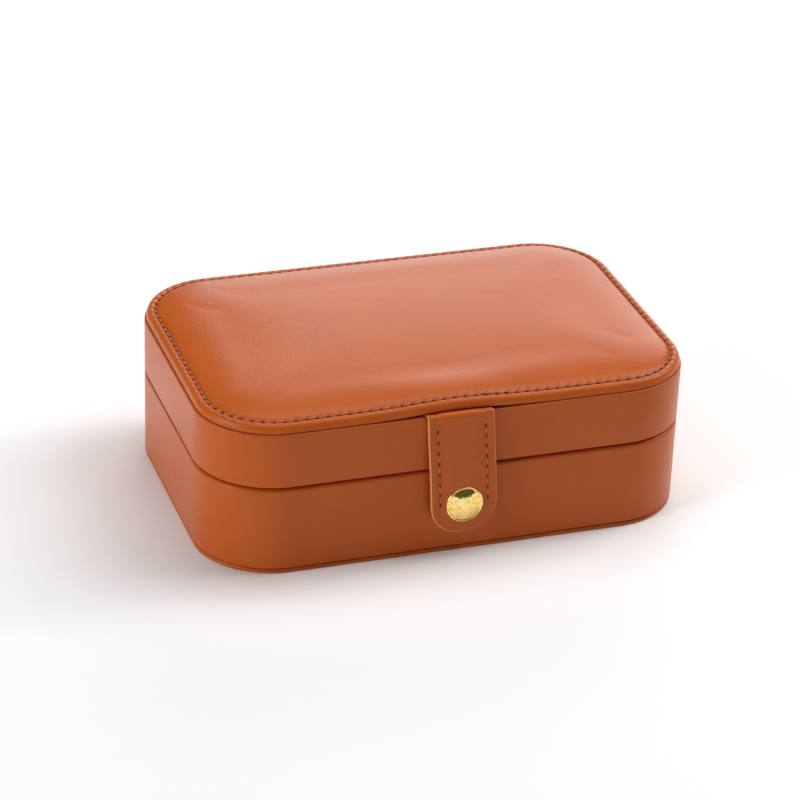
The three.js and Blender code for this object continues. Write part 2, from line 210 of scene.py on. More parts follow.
def block(low: Vector, high: Vector) -> BMesh:
    """A box between two corners."""
    bm = bmesh.new()
    bmesh.ops.create_cube(bm, size=1.0, matrix=Matrix.Translation((low + high) / 2)
                          @ Matrix.Diagonal((*(high - low), 1.0)))
    return bm


def draw_section(bm: BMesh, corners: Sequence[Corner], place: Callable[[float, float], Vector],
                 closed: bool = True, segments: int = 5) -> None:
    """Draws a section as a chain of edges and rounds its corners.

    Args:
        bm: The mesh to draw in, empty so far.
        corners: The section's corners in order.
        place: Turns across and up, in metres, into a point.
        closed: Whether the last corner joins the first.
        segments: Edges in each rounded corner.
    """
    verts = [bm.verts.new(place(c.across * MM, c.up * MM)) for c in corners]
    pairs = list(zip(verts, verts[1:])) + ([(verts[-1], verts[0])] if closed else [])
    for first, second in pairs:
        bm.edges.new((first, second))
    for vert, corner in zip(verts, corners):
        if corner.round > 0:
            round_off(bm, [vert], corner.round * MM, segments, "VERTICES")


def sweep(outline: Outline, corners: Sequence[Corner], closed: bool = True, arc_steps: int = 16,
          side_step: float = 8 * MM) -> BMesh:
    """Carries a section round an outline: extruded along the sides, spun round the corners.

    Args:
        outline: The path. A corner's across is measured inwards from it.
        corners: The section.
        closed: Whether the section is a closed loop.
        arc_steps: Steps in each quarter turn.
        side_step: Longest step along a side, in metres.

    Returns:
        The swept wall, its ends joined.
    """
    start = -outline.straights[1]
    bm = bmesh.new()
    draw_section(bm, corners,
                 lambda across, up: Vector((outline.half_length - across, start, up)), closed)
    edges = list(bm.edges)
    for quarter, (side, cx, cy) in enumerate(outline.quarters):
        steps = max(1, math.ceil(2 * side / side_step))
        forward = Matrix.Rotation(quarter * QUARTER, 3, "Z") @ Vector((0, 2 * side / steps, 0))
        for _ in range(steps):
            made = bmesh.ops.extrude_edge_only(bm, edges=edges)["geom"]
            bmesh.ops.translate(bm, verts=verts_of(made), vec=forward)
            edges = edges_of(made)
        verts = list({v for e in edges for v in e.verts})
        made = bmesh.ops.spin(bm, geom=verts + edges, cent=(cx, cy, 0), axis=(0, 0, 1),
                              angle=QUARTER, steps=arc_steps)["geom_last"]
        edges = edges_of(made)
    bmesh.ops.remove_doubles(bm, verts=bm.verts, dist=WELD)
    if not closed:
        bmesh.ops.holes_fill(bm, edges=[e for e in bm.edges if e.is_boundary])
    bmesh.ops.recalc_face_normals(bm, faces=bm.faces)
    return bm


def turned(centre: Vector, corners: Sequence[Corner], steps: int,
           closed: bool = False) -> BMesh:
    """Spins a profile about an axis that runs out of the front wall.

    Args:
        centre: Where the axis meets the wall's face.
        corners: The profile: across is the radius, up is the distance out from the wall.
        steps: Steps in the full turn.
        closed: Whether the profile is a loop that stays off the axis.

    Returns:
        The turned piece.
    """
    bm = bmesh.new()
    draw_section(bm, corners, lambda across, up: centre + Vector((across, -up, 0)), closed, 4)
    bmesh.ops.spin(bm, geom=bm.verts[:] + bm.edges[:], cent=centre, axis=(0, 1, 0),
                   angle=2 * math.pi, steps=steps, use_merge=True)
    bmesh.ops.remove_doubles(bm, verts=bm.verts, dist=WELD)
    bmesh.ops.recalc_face_normals(bm, faces=bm.faces)
    return bm


def as_object(bm: BMesh, name: str, material: bpy.types.Material,
              sharp: float = 50.0) -> bpy.types.Object:
    """Makes a finished bmesh an object at the origin, shaded smooth up to an angle in degrees."""
    mesh = bpy.data.meshes.new(name)
    bm.to_mesh(mesh)
    bm.free()
    mesh.polygons.foreach_set("use_smooth", [True] * len(mesh.polygons))
    mesh.set_sharp_from_angle(angle=math.radians(sharp))
    mesh.materials.append(material)
    piece = bpy.data.objects.new(name, mesh)
    bpy.context.scene.collection.objects.link(piece)
    return piece


def fix(piece: bpy.types.Object, body: str, *nodes: str) -> bpy.types.Object:
    """Fixes a piece to a body, in place of any CAD nodes named."""
    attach(piece, body)
    if nodes:
        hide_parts(*nodes)
    LOG.info("%s: %s, %d faces", body, piece.name, len(piece.data.polygons))
    return piece


def with_modifiers_applied(piece: bpy.types.Object) -> None:
    """Puts the mesh that the piece's modifiers make in place of its own, and removes them."""
    depsgraph = bpy.context.evaluated_depsgraph_get()
    made = bpy.data.meshes.new_from_object(piece.evaluated_get(depsgraph))
    piece.modifiers.clear()
    piece.data = made


def reshape(piece: bpy.types.Object, move: Callable[[Vector, Vector], Vector]) -> None:
    """Moves each vertex by what move gives for its place and its normal."""
    mesh = piece.data
    steps = [move(v.co, v.normal) for v in mesh.vertices]
    for vert, step in zip(mesh.vertices, steps):
        vert.co += step
    mesh.update()


def smoothstep(low: float, high: float, value: float) -> float:
    """0 below low, 1 above high, and a smooth rise between them."""
    t = min(1.0, max(0.0, (value - low) / (high - low)))
    return t * t * (3 - 2 * t)


# ---- materials -------------------------------------------------------------------------------


def linear(hex_colour: str) -> tuple[float, float, float, float]:
    """An sRGB hex colour as linear values with alpha 1."""
    channels = [int(hex_colour[i:i + 2], 16) / 255 for i in (1, 3, 5)]
    return (*[c / 12.92 if c <= 0.04045 else ((c + 0.055) / 1.055) ** 2.4 for c in channels], 1.0)


def add_node(material: bpy.types.Material, kind: str, settings: Optional[dict] = None,
             **inputs: object) -> bpy.types.Node:
    """Adds a node, sets its properties, and fills its inputs.

    Args:
        material: The material whose tree gets the node.
        kind: The node's type, without the ShaderNode in front.
        settings: Properties of the node, by name.
        **inputs: Values or output sockets for its inputs, with _ for a space in their names. A
            name such as in_0 means the input of that number.

    Returns:
        The new node.
    """
    tree = material.node_tree
    node = tree.nodes.new("ShaderNode" + kind)
    for key, value in (settings or {}).items():
        setattr(node, key, value)
    for key, value in inputs.items():
        place = int(key[3:]) if key.startswith("in_") else key.replace("_", " ")
        socket = node.inputs[place]
        if isinstance(value, bpy.types.NodeSocket):
            tree.links.new(value, socket)
        else:
            socket.default_value = value
    return node


def new_material(name: str) -> bpy.types.Material:
    """An empty node material."""
    material = bpy.data.materials.new(name)
    material.use_nodes = True
    material.node_tree.nodes.clear()
    return material


def finish_material(material: bpy.types.Material, **inputs: object) -> bpy.types.Material:
    """Adds the Principled shader with these inputs and the output, and returns the material."""
    shader = add_node(material, "BsdfPrincipled", **inputs)
    add_node(material, "OutputMaterial", Surface=shader.outputs[0])
    return material


@dataclass(frozen=True)
class CoatedLeather:
    """Polyurethane-coated leather: smooth, a fine printed grain, a satin gloss.

    The coating gives broad soft highlights. The grain only breaks them up.
    """

    name: str = "coated_leather"
    colour: str = "#C05B1C"
    deep: str = "#A84C15"
    roughness: float = 0.30
    cloud_mm: float = 28.0          # patches of deeper dye
    fleck_mm: float = 1.6           # slight unevenness of the coating
    fleck_depth_mm: float = 0.010
    grain_mm: float = 1.1           # a little coarser than the print, so that it shows
    grain_depth_mm: float = 0.022
    crease_mm: float = 16.0
    crease_depth_mm: float = 0.10
    shine: float = 0.24             # specular level of the coating

    def make(self) -> bpy.types.Material:
        """Builds the material."""
        m = new_material(self.name)
        place = add_node(m, "TexCoord").outputs["Object"]
        cloud = add_node(m, "TexNoise", Vector=place, Scale=1 / (self.cloud_mm * MM), Detail=4.0,
                         Roughness=0.55)
        fleck = add_node(m, "TexNoise", Vector=place, Scale=1 / (self.fleck_mm * MM), Detail=2.0)
        patch = add_node(m, "MapRange", Value=cloud.outputs["Fac"], From_Min=0.3, From_Max=0.7)
        share = add_node(m, "MapRange", Value=patch.outputs[0], To_Min=0.72, To_Max=1.0)
        colour = add_node(m, "Mix", {"data_type": "RGBA"}, in_0=share.outputs[0],
                          in_6=linear(self.deep), in_7=linear(self.colour))
        cells = add_node(m, "TexVoronoi", {"feature": "DISTANCE_TO_EDGE"}, Vector=place,
                         Scale=1 / (self.grain_mm * MM))
        pores = add_node(m, "MapRange", Value=cells.outputs["Distance"], From_Max=0.22)
        creases = add_node(m, "TexNoise", Vector=place, Scale=1 / (self.crease_mm * MM),
                           Detail=3.0, Roughness=0.5, Distortion=0.6)
        broad = add_node(m, "Bump", Strength=1.0, Distance=self.crease_depth_mm * MM,
                         Height=creases.outputs["Fac"])
        middle = add_node(m, "Bump", Strength=1.0, Distance=self.fleck_depth_mm * MM,
                          Height=fleck.outputs["Fac"], Normal=broad.outputs[0])
        fine = add_node(m, "Bump", Strength=1.0, Distance=self.grain_depth_mm * MM,
                        Height=pores.outputs[0], Normal=middle.outputs[0])
        gloss = add_node(m, "MapRange", Value=fleck.outputs["Fac"],
                         To_Min=self.roughness - 0.05, To_Max=self.roughness + 0.06)
        return finish_material(m, Base_Color=colour.outputs[2], Roughness=gloss.outputs[0],
                               Normal=fine.outputs[0], Specular_IOR_Level=self.shine, IOR=1.45)


@dataclass(frozen=True)
class Velvet:
    """Flocked velvet over card: a short dense pile, brushed in patches."""

    name: str = "flocked_velvet"
    colour: str = "#C7A987"
    deep: str = "#A98862"
    brushed_mm: float = 9.0
    pile_mm: float = 0.5            # far coarser than the fibres, so that the pile shows
    pile_depth_mm: float = 0.18

    def make(self) -> bpy.types.Material:
        """Builds the material."""
        m = new_material(self.name)
        place = add_node(m, "TexCoord").outputs["Object"]
        brushed = add_node(m, "TexNoise", Vector=place, Scale=1 / (self.brushed_mm * MM),
                           Detail=2.0, Distortion=0.4)
        pile = add_node(m, "TexNoise", Vector=place, Scale=1 / (self.pile_mm * MM), Detail=2.0)
        share = add_node(m, "MapRange", Value=brushed.outputs["Fac"], From_Min=0.2, From_Max=0.6,
                         To_Min=0.45)
        colour = add_node(m, "Mix", {"data_type": "RGBA"}, in_0=share.outputs[0],
                          in_6=linear(self.deep), in_7=linear(self.colour))
        bump = add_node(m, "Bump", Strength=0.9, Distance=self.pile_depth_mm * MM,
                        Height=pile.outputs["Fac"])
        return finish_material(m, Base_Color=colour.outputs[2], Normal=bump.outputs[0],
                               Roughness=0.92, Sheen_Weight=0.5, Sheen_Roughness=0.4,
                               Specular_IOR_Level=0.15)


@dataclass(frozen=True)
class Metal:
    """A drawn metal with a slight ripple from the press, which breaks up its reflections."""

    name: str
    colour: str
    rubbed: str
    roughness: float
    ripple_mm: float = 2.4
    ripple_depth_mm: float = 0.03
    haze_mm: float = 0.8
    worn_mm: float = 1.5

    def make(self) -> bpy.types.Material:
        """Builds the material."""
        m = new_material(self.name)
        place = add_node(m, "TexCoord").outputs["Object"]
        ripple = add_node(m, "TexNoise", Vector=place, Scale=1 / (self.ripple_mm * MM), Detail=1.0)
        haze = add_node(m, "TexNoise", Vector=place, Scale=1 / (self.haze_mm * MM), Detail=3.0)
        worn = add_node(m, "TexNoise", Vector=place, Scale=1 / (self.worn_mm * MM), Detail=2.0,
                        Distortion=1.5)
        share = add_node(m, "MapRange", Value=worn.outputs["Fac"], From_Min=0.42, From_Max=0.66)
        colour = add_node(m, "Mix", {"data_type": "RGBA"}, in_0=share.outputs[0],
                          in_6=linear(self.colour), in_7=linear(self.rubbed))
        gloss = add_node(m, "MapRange", Value=haze.outputs["Fac"], To_Min=self.roughness * 0.8,
                         To_Max=self.roughness * 1.5)
        bump = add_node(m, "Bump", Strength=1.0, Distance=self.ripple_depth_mm * MM,
                        Height=ripple.outputs["Fac"])
        return finish_material(m, Base_Color=colour.outputs[2], Metallic=1.0,
                               Roughness=gloss.outputs[0], Normal=bump.outputs[0])


@dataclass(frozen=True)
class Plain:
    """A dull made surface with a fine mottle: thread, cut leather edge, grey board."""

    name: str
    colour: str
    deep: str
    roughness: float
    grain_mm: float                 # coarser than the real fibres, so that it shows
    grain_depth_mm: float = 0.05

    def make(self) -> bpy.types.Material:
        """Builds the material."""
        m = new_material(self.name)
        place = add_node(m, "TexCoord").outputs["Object"]
        grain = add_node(m, "TexNoise", Vector=place, Scale=1 / (self.grain_mm * MM), Detail=3.0)
        colour = add_node(m, "Mix", {"data_type": "RGBA"}, in_0=grain.outputs["Fac"],
                          in_6=linear(self.deep), in_7=linear(self.colour))
        bump = add_node(m, "Bump", Strength=0.6, Distance=self.grain_depth_mm * MM,
                        Height=grain.outputs["Fac"])
        return finish_material(m, Base_Color=colour.outputs[2], Roughness=self.roughness,
                               Normal=bump.outputs[0])


@dataclass(frozen=True)
class SilveredGlass:
    """Float glass silvered on its back: a clean mirror with a faint haze of finger marks."""

    name: str = "silvered_glass"
    colour: str = "#E9EDEE"
    smear_mm: float = 22.0

    def make(self) -> bpy.types.Material:
        """Builds the material."""
        m = new_material(self.name)
        place = add_node(m, "TexCoord").outputs["Object"]
        smears = add_node(m, "TexNoise", Vector=place, Scale=1 / (self.smear_mm * MM), Detail=4.0)
        gloss = add_node(m, "MapRange", Value=smears.outputs["Fac"], From_Min=0.45, From_Max=0.8,
                         To_Min=0.015, To_Max=0.06)
        return finish_material(m, Base_Color=linear(self.colour), Metallic=1.0,
                               Roughness=gloss.outputs[0])


class Finish(Enum):
    """The finishes on the case, each a maker of its material."""

    # warm tan, with a broad pinkish sheen where it faces the light
    LEATHER = CoatedLeather()
    # soft beige, cloudy where the pile is brushed, with a pale bloom at grazing angles
    VELVET = Velvet()
    # bright yellow glints over a rippled and worn face
    GILT = Metal("gilt_plated_brass", "#FFE699", "#EBBE57", 0.10, 2.2, 0.14)
    # a duller, browner gold than the cap's
    BRASS = Metal("lacquered_brass", "#D9B15E", "#C49A4A", 0.24)
    # a thin cool grey ring inside the socket
    SPRING = Metal("spring_steel_wire", "#B9BCC0", "#A3A6AA", 0.25)
    # stitches a little paler than the leather
    THREAD = Plain("bonded_polyester_thread", "#D5814E", "#AE5A2C", 0.5, 0.4)
    # painted shade: dark dots between the stitches, standing for the shadow inside the needle holes
    HOLE = Plain("needle_hole_in_leather", "#6A3013", "#471C0A", 0.9, 0.4)
    # a pale line along the strap's cut sides
    CUT_EDGE = Plain("painted_leather_edge", "#DD9468", "#C97C50", 0.4, 0.5)
    # flat warm grey, hardly in view past the leather and the velvet
    BOARD = Plain("grey_board", "#A39B8E", "#8A8276", 0.9, 0.7)
    # a clear cool reflection of the tray
    GLASS = SilveredGlass()

    @property
    def material(self) -> bpy.types.Material:
        """The material, made the first time that it's asked for."""
        return bpy.data.materials.get(self.value.name) or self.value.make()


# ---- sewing ----------------------------------------------------------------------------------


@dataclass(frozen=True)
class Thread:
    """A row of lock stitches: each is a short loop of thread whose ends dip into the leather."""

    pitch: float = 3.5 * MM
    gap: float = 0.7 * MM
    radius: float = 0.27 * MM
    dip: float = 0.22 * MM
    slant: float = math.radians(7)
    hole_depth: float = 0.14 * MM

    def template(self) -> BMesh:
        """One stitch along X with its back along +Z."""
        bm = bmesh.new()
        bmesh.ops.create_uvsphere(bm, u_segments=8, v_segments=8, radius=1.0,
                                  matrix=Matrix.Rotation(QUARTER, 4, "Y"))
        half = (self.pitch - self.gap) / 2
        bmesh.ops.scale(bm, vec=(half, self.radius, self.radius), verts=bm.verts)
        for vert in bm.verts:
            vert.co.z -= self.dip * (vert.co.x / half) ** 2
        return bm

    def put_hole_shade(self, places: Sequence[tuple[Vector, Vector, Vector]]) -> BMesh:
        """Puts a needle hole, a flat dimple drawn out along the seam, at each place; its dark
        colour is painted shade for the hole.
        """
        bm = bmesh.new()
        bmesh.ops.create_uvsphere(bm, u_segments=8, v_segments=4, radius=1.0)
        bmesh.ops.scale(bm, vec=(self.gap * 0.85, self.radius * 1.25, self.hole_depth),
                        verts=bm.verts)
        return self.repeat(bm, places, 0.0)

    def sew(self, places: Iterable[tuple[Vector, Vector, Vector]]) -> BMesh:
        """Puts one stitch at each place.

        Args:
            places: For each stitch its middle, the way that it runs, and the way out of the
                leather.

        Returns:
            All the stitches in one mesh.
        """
        return self.repeat(self.template(), places, self.slant)

    def repeat(self, shape: BMesh, places: Iterable[tuple[Vector, Vector, Vector]],
               slant: float) -> BMesh:
        """Copies a small shape to each place.

        Args:
            shape: The shape, along X with its back along +Z. It is used up.
            places: As for sew.
            slant: Turn of each copy about the way out.

        Returns:
            All the copies in one mesh.
        """
        mesh = bpy.data.meshes.new("template")
        shape.to_mesh(mesh)
        shape.free()
        bm = bmesh.new()
        for middle, run, out in places:
            x = run.normalized()
            y = out.cross(x).normalized()
            turn = Matrix((x, y, x.cross(y))).transposed() @ Matrix.Rotation(slant, 3, "Z")
            first = len(bm.verts)
            bm.from_mesh(mesh)
            bm.verts.ensure_lookup_table()
            bmesh.ops.transform(bm, matrix=Matrix.Translation(middle) @ turn.to_4x4(),
                                verts=bm.verts[first:])
        bpy.data.meshes.remove(mesh)
        return bm


# ---- base ------------------------------------------------------------------------------------


WALL_LOW, WALL_HIGH = node_box("base_wall_leather")
CORNER_RADIUS = 26 * MM
CASE = Outline(WALL_HIGH.x, WALL_HIGH.y, CORNER_RADIUS)


def to_mm(value: float) -> float:
    """Metres as millimetres, for a section's corners."""
    return value / MM


@dataclass
class Base:
    """The base: leather-covered walls and sole, and the velvet-lined tray inside."""

    skin: float = 0.8          # leather thickness, mm
    parting_roll: float = 1.2  # rolled upper edge of the wall, mm
    sole_roll: float = 0.6
    shy: float = 0.27          # how far the leather's edge stays below its CAD edge, mm
    liner_gap: float = 0.3     # between the turned-in leather and the liner, mm
    liner_card: float = 1.6    # thickness of the covered card, mm
    lip_round: float = 0.75    # soft upper edge of the liner, mm
    sole_flat: float = 14.0    # how far in from the outline the sole's plain middle starts, mm

    def wall(self) -> None:
        """The leather round the base, turned in over the board at the top."""
        low, high = to_mm(WALL_LOW.z), to_mm(WALL_HIGH.z) - self.shy
        turn_in = to_mm(WALL_HIGH.x - node_box("base_liner_walls")[1].x) - self.liner_gap
        section = [
            Corner(0, low, 0.35), Corner(0, high, self.parting_roll), Corner(turn_in, high, 0.3),
            Corner(turn_in, high - self.skin, 0.2), Corner(self.skin, high - self.skin),
            Corner(self.skin, low, 0.2)]
        wall = as_object(sweep(CASE, section), "base_wall_cover", Finish.LEATHER.material)
        fix(wall, "base", "base_wall_leather")

    def sole(self) -> None:
        """The flat leather-covered plate that the case rests on."""
        _, high = node_box("base_bottom_cover")
        inset, top = to_mm(WALL_HIGH.x - high.x), to_mm(high.z)
        section = [
            Corner(self.sole_flat, 0), Corner(inset, 0, 0.5), Corner(inset, top, self.sole_roll),
            Corner(self.sole_flat, top)]
        sole = as_object(sweep(CASE, section, closed=False), "base_sole", Finish.LEATHER.material)
        fix(sole, "base", "base_bottom_cover")

    def liner(self) -> None:
        """The velvet-covered card wall, whose lip stands up inside the lid."""
        low, high = node_box("base_liner_walls")
        outer = to_mm(WALL_HIGH.x - high.x)
        inner = outer + self.liner_card
        bottom, top = to_mm(low.z), to_mm(high.z)
        section = [
            Corner(outer, bottom, 0.2), Corner(outer, top, self.lip_round),
            Corner(inner, top, self.lip_round), Corner(inner, bottom, 0.2)]
        liner = as_object(sweep(CASE, section), "base_liner", Finish.VELVET.material)
        fix(liner, "base", "base_liner_walls")

    def build(self) -> None:
        """Makes every piece that is fixed to the base."""
        self.wall()
        self.sole()
        self.liner()
        velvet_bar("ring_partition", "base", "tray_partition")


def velvet_bar(node: str, body: str, name: str, wrapped_round: float = 0.85 * MM) -> None:
    """A velvet-wrapped card divider with soft edges, in the space of its CAD node.

    Args:
        node: The CAD node that it stands for.
        body: The body that it moves with.
        name: The new piece's name.
        wrapped_round: Radius of the wrapped edges.
    """
    low, high = node_box(node)
    bm = block(low, high)
    thin = 0 if high.x - low.x < high.y - low.y else 1
    wrapped = [e for e in bm.edges if abs((e.verts[0].co - e.verts[1].co)[thin]) < 1e-6
               and max(v.co.z for v in e.verts) > high.z - 1e-6]
    round_off(bm, wrapped, wrapped_round, 5)
    fix(as_object(bm, name, Finish.VELVET.material), body, node)


@dataclass
class RingRolls:
    """Seven foam rolls wrapped in velvet, for rings to be pressed between."""

    count: int = 7
    middle: int = 4                 # the roll that is kept inside its own CAD end
    wrinkle: float = 0.10 * MM
    wrinkle_size: tuple[float, float, float] = (7 * MM, 5 * MM, 9 * MM)
    steps: int = 28
    side_cuts: int = 7
    end_round: float = 1.2 * MM
    tray_inset: float = 6.5 * MM    # of the tray's inner face, from the case's outline

    def roll(self, index: int) -> None:
        """One roll, in the space of its CAD node.

        Args:
            index: 1 for the roll nearest the front.
        """
        node = f"ring_roll_{index}"
        low, high = node_box(node)
        half, middle = (high.y - low.y) / 2, (high.y + low.y) / 2
        side, foot, top = to_mm(half), to_mm(low.z), to_mm(high.z)
        bm = bmesh.new()
        draw_section(bm, [Corner(-side, foot, 0.4), Corner(-side, top, side - 0.05),
                          Corner(side, top, side - 0.05), Corner(side, foot, 0.4)],
                     lambda across, up: Vector((high.x, middle + across, up)), segments=9)
        upright = [e for e in bm.edges if e.calc_length() > 5 * MM
                   and abs(e.verts[0].co.z - e.verts[1].co.z) > 1 * MM]
        bmesh.ops.subdivide_edges(bm, edges=upright, cuts=self.side_cuts)
        edges = bm.edges[:]
        for _ in range(self.steps):
            grown = bmesh.ops.extrude_edge_only(bm, edges=edges)["geom"]
            bmesh.ops.translate(bm, verts=verts_of(grown),
                                vec=((low.x - high.x) / self.steps, 0, 0))
            edges = edges_of(grown)
        bmesh.ops.holes_fill(bm, edges=[e for e in bm.edges if e.is_boundary])
        bmesh.ops.recalc_face_normals(bm, faces=bm.faces)
        rims = [e for e in bm.edges if e.calc_face_angle(0.0) > RIM_ANGLE]
        round_off(bm, rims, self.end_round, 4)
        piece = as_object(bm, f"velvet_roll_{index}", Finish.VELVET.material)
        own_end = CASE.half_length + low.x
        inside = CASE.inset(own_end if index == self.middle else self.tray_inset)
        wide, deep, tall = self.wrinkle_size

        def settle(place: Vector, normal: Vector) -> Vector:
            """Soft wrinkles, and the end kept inside the tray's round corner."""
            height = noise.noise(Vector((place.x / wide, place.y / deep + 9 * index,
                                         place.z / tall)))
            step = normal * (-self.wrinkle * (0.6 + height))
            spare = inside.depth(place + step)
            if spare < 0 and place.x < 0:
                step.x -= spare * 1.6
            return step

        reshape(piece, settle)
        fix(piece, "base", node)

    def build(self) -> None:
        """Makes all the rolls."""
        for index in range(1, self.count + 1):
            self.roll(index)


# ---- lid -------------------------------------------------------------------------------------


@dataclass
class Lid:
    """The lid: leather wall, stitched rim, padded top, velvet lining and framed mirror."""

    skin: float = 0.8             # leather thickness, mm
    fold: float = 3.1             # width of the leather turned in over the board, mm
    seam_inset: float = 3.75      # of the stitch line, from the wall outline, mm
    ridge_rise: float = 2.95      # of the rim's ridge, above its lower edge, mm
    stitch_depth: float = 0.2     # of the stitches, below the ridge, mm
    hole_depth: float = 0.12      # of the needle holes, below the stitches, mm
    seam_depth: float = 0.95      # of the pad's edge, below the ridge, mm
    roll_height: float = 0.9      # of the small roll just inside the seam, mm
    roll_reach: float = 0.7       # how far in it does most of its rising, mm
    crown_height: float = 3.6     # of the long rise towards the middle, mm
    crown_reach: float = 11.0     # how far in it does most of its rising, mm
    edge_roll: float = 0.4
    shy: float = 0.27             # how far the wall leather's edge stays above its CAD edge, mm
    thread: Thread = Thread()
    rim_proud: float = 0.25       # how far the rolled rim stands out past its CAD edge, mm
    pucker: float = 0.24 * MM     # how much each stitch pulls the leather in
    rim_share: float = 1.6        # of that pull, on the rim
    pad_share: float = 0.85       # of that pull, on the pad
    lift: float = 1.3 * MM        # how far the strap's end pushes the panel up at the front
    lift_reach: float = 19 * MM   # how far to each side of the strap that push is felt
    lift_full: float = 3 * MM     # how far back from the front wall it is felt in full
    lift_gone: float = 22 * MM    # how far back it has faded out
    frame_corner: float = 12 * MM
    lining_card: float = 0.7      # thickness of the covered card round the inside, mm
    closing_x: float = 4 * MM     # where the seam closes, along the front
    closing_stitches: int = 4

    @property
    def seam(self) -> Outline:
        """The line that the rim's stitches follow."""
        return CASE.inset(self.seam_inset * MM)

    @property
    def stitch_pitch(self) -> float:
        """The pitch that puts a whole number of stitches round the seam."""
        count = round(self.seam.perimeter / self.thread.pitch)
        return self.seam.perimeter / count

    def pull(self, place: Vector) -> float:
        """How far through the stitch cycle a place is: 1 at a stitch's middle, 0 at its holes."""
        phase = self.seam.along(place) / self.stitch_pitch
        return 0.5 - 0.5 * math.cos(2 * math.pi * phase)

    def raised(self, place: Vector) -> float:
        """How far a place on the top panel is pushed up by the strap's end under it."""
        low, high = node_box("strap_tongue")
        aside = (place.x - (low.x + high.x) / 2) / self.lift_reach
        near_front = 1 - smoothstep(self.lift_full, self.lift_gone, place.y + CASE.half_width)
        return self.lift * math.exp(-aside * aside) * near_front

    def wall(self) -> None:
        """The leather round the lid, turned in over the board at both edges."""
        low, high = node_box("lid_wall_leather")
        bottom, top = to_mm(low.z) + self.shy, to_mm(high.z)
        fold = self.fold
        section = [
            Corner(0, top, 0.55), Corner(fold, top, 0.1), Corner(fold, top - 0.25),
            Corner(self.skin, top - 0.25), Corner(self.skin, bottom + self.skin),
            Corner(fold, bottom + self.skin, 0.2), Corner(fold, bottom, 0.3),
            Corner(0, bottom, self.edge_roll)]
        wall = as_object(sweep(CASE, section), "lid_wall_cover", Finish.LEATHER.material)
        fix(wall, "lid", "lid_wall_leather")

    def rim(self) -> bpy.types.Object:
        """The rolled rim outside the stitches, drawn in where each stitch goes through."""
        low, high = node_box("lid_top_cover")
        bottom = to_mm(low.z)
        board_top = to_mm(node_box("lid_top_board")[1].z)
        edge = to_mm(CASE.half_length - high.x) - self.rim_proud
        seam = self.seam_inset
        ridge = bottom + self.ridge_rise
        section = [
            Corner(edge, bottom - 0.3, 0.3), Corner(edge, bottom + 1.0, 0.6),
            Corner(edge + 0.75, ridge - 0.35, 0.9), Corner(seam - 0.65, ridge, 0.5),
            Corner(seam - 0.1, ridge - 0.75, 0.15),
            Corner(seam + 0.75, ridge - 0.75), Corner(seam + 0.75, board_top + 0.1),
            Corner(edge + self.skin, board_top + 0.1), Corner(edge + self.skin, bottom - 0.05),
            Corner(edge + 4.0, bottom - 0.05), Corner(edge + 4.0, bottom - 0.3)]
        bm = sweep(CASE, section, arc_steps=44, side_step=0.85 * MM)
        piece = as_object(bm, "lid_rim", Finish.LEATHER.material)
        crest = (ridge - 0.6) * MM

        def draw_in(place: Vector, normal: Vector) -> Vector:
            """Lifts the rim over the strap, and pulls its ridge down at the needle holes."""
            across = CASE.depth(place) / MM
            near_seam = smoothstep(seam - 2.4, seam - 0.8, across)
            near_crest = smoothstep(crest - 0.5 * MM, crest, place.z)
            pulled = self.rim_share * self.pucker * (1 - self.pull(place))
            drawn = pulled * near_seam * near_crest
            return Vector((0, 0, self.raised(place) - drawn))

        reshape(piece, draw_in)
        return fix(piece, "lid")

    def pad_height(self, across: float) -> float:
        """Height of the padded top at a distance inside the stitch line, both in mm.

        It starts a little below the rim's ridge, swells at once over a small roll, and rises
        more and more gently towards the middle.
        """
        inside = max(across, 0.0)
        roll = self.roll_height * (1 - math.exp(-inside / self.roll_reach))
        crown = self.crown_height * (1 - math.exp(-inside / self.crown_reach))
        ridge = to_mm(node_box("lid_top_cover")[0].z) + self.ridge_rise
        return ridge - self.seam_depth + roll + crown

    def pad(self) -> None:
        """The padded top: swelled by simulation, then drawn down along the stitches."""
        floor = to_mm(node_box("lid_top_board")[1].z) + 0.05
        edge = self.seam_inset - 0.1
        tucked = 2.2               # width of the flange under the rim
        deep = 2.4                 # least thickness before the edge is drawn down
        flat = 21                  # how far in the plain middle starts

        def blank(across: float) -> float:
            """Height of the pad as it's cut, before it's sewn down."""
            return max(self.pad_height(across) - 0.25, floor + deep)

        steps = (3.0, 4.5, 7.0, 10.0, 14.0, 19.0)
        shape = [Corner(flat, floor), Corner(edge - tucked, floor),
                 Corner(edge - tucked, floor + deep)]
        shape += [Corner(edge + step, blank(step)) for step in steps]
        piece = as_object(sweep(CASE, shape, closed=False, arc_steps=14), "lid_pad",
                          Finish.LEATHER.material)
        remesh = piece.modifiers.new("skin", "REMESH")
        remesh.mode = "VOXEL"
        remesh.voxel_size = 1.25 * MM
        with_modifiers_applied(piece)
        held = (edge + 3.5) * MM   # nearer the edge than this the pad is sewn down
        swell(piece, lambda v: v.z < (floor + 0.5) * MM or CASE.depth(v) < held,
              pressure=4.0, frames=20, cap=0.9 * MM)
        ease = piece.modifiers.new("ease", "SMOOTH")
        ease.factor, ease.iterations = 0.5, 5
        fine = piece.modifiers.new("fine", "SUBSURF")
        fine.levels = fine.render_levels = 1
        with_modifiers_applied(piece)
        piece.data.polygons.foreach_set("use_smooth", [True] * len(piece.data.polygons))

